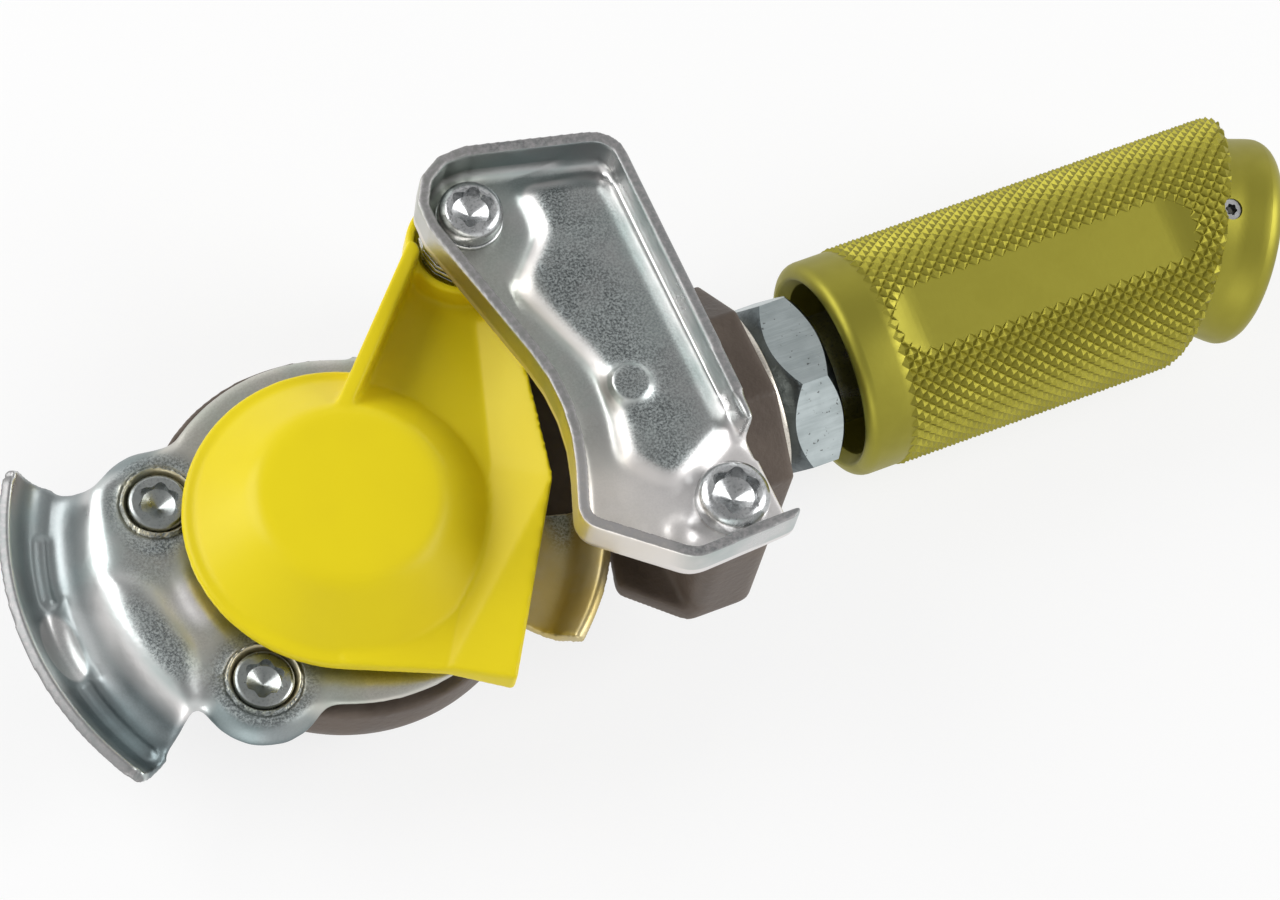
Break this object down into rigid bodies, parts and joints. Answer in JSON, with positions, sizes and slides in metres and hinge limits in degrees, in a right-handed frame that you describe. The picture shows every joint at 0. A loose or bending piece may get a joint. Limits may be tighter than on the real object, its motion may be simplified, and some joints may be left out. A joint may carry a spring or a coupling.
{
  "type": "gladhand air brake coupler",
  "caption": "Trailer air brake coupling head with pressed guide and claw plates, a sprung swing cover over the seal, and a knurled grip with an oblique hose port.",
  "frame": {"origin": "centre of the seal in the sealing plane", "axes": "+Z out of the sealing face, +X along the port axis towards the grip, +Y towards the cover's hinge"},
  "size_m": [0.1967, 0.0709, 0.0428],
  "materials": {
    "cast_brown": "matte cast",
    "zinc_sheet": "zinc plated, worn",
    "screw_steel": "zinc plated",
    "yellow_moulding": "glossy",
    "olive_anodised": "anodised",
    "rubber": "matte"
  },
  "bodies": {
    "head": {"body": "cast_brown", "seal_ring": "rubber", "guide_plate": "zinc_sheet", "guide_screws": "screw_steel", "claw_plate": "zinc_sheet", "hinge_screw": "screw_steel", "hinge_washer": "screw_steel", "hinge_sleeve": "screw_steel", "claw_screw": "screw_steel", "port_washer": "screw_steel", "lock_nut": "screw_steel", "stud": "screw_steel", "stud_seal": "rubber", "grip": "olive_anodised", "grip_set_screw": "screw_steel"},
    "cover": {"cover": "yellow_moulding", "cover_spring": "screw_steel"}
  },
  "joints": [
    {"name": "cover_hinge", "type": "hinge", "parent": "head", "child": "cover", "pos_m": [0.0311, 0.031, 0], "axis": [0, 0, 1], "range_deg": [-95, 0], "stiffness_Nm_per_rad": 0.12, "springref_deg": 45.84}
  ]
}
